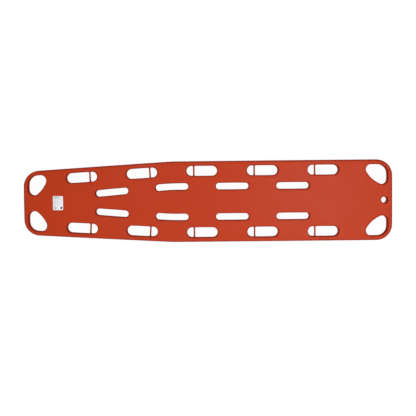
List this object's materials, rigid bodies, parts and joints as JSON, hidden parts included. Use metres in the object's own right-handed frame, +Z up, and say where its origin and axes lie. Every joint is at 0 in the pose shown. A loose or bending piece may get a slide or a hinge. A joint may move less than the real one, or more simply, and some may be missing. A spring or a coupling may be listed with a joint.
{
  "type": "spine board",
  "caption": "Long rigid patient board tapering to the foot, with hand slots crossed by strap pins, inner strap slots, corner holes and low runners underneath.",
  "frame": {"origin": "on the ground, under the middle of the board's box", "axes": "+X towards the head end, +Y towards the lying patient's left, +Z up, the deck's way"},
  "size_m": [1.83, 0.4024, 0.05],
  "materials": {
    "shell": "satin",
    "pin": "satin",
    "foam": "matte",
    "rod": "satin",
    "label": "satin",
    "plug": "matte"
  },
  "bodies": {
    "root": {"board_shell": "shell", "foam_core": "foam", "stiffener_left": "rod", "stiffener_right": "rod", "id_label": "label", "fill_plug": "plug", "vent_plug": "plug", "strap_pin_left_1": "pin", "strap_pin_left_2": "pin", "strap_pin_left_3": "pin", "strap_pin_left_4": "pin", "strap_pin_left_5": "pin", "strap_pin_right_1": "pin", "strap_pin_right_2": "pin", "strap_pin_right_3": "pin", "strap_pin_right_4": "pin", "strap_pin_right_5": "pin"}
  },
  "joints": []
}
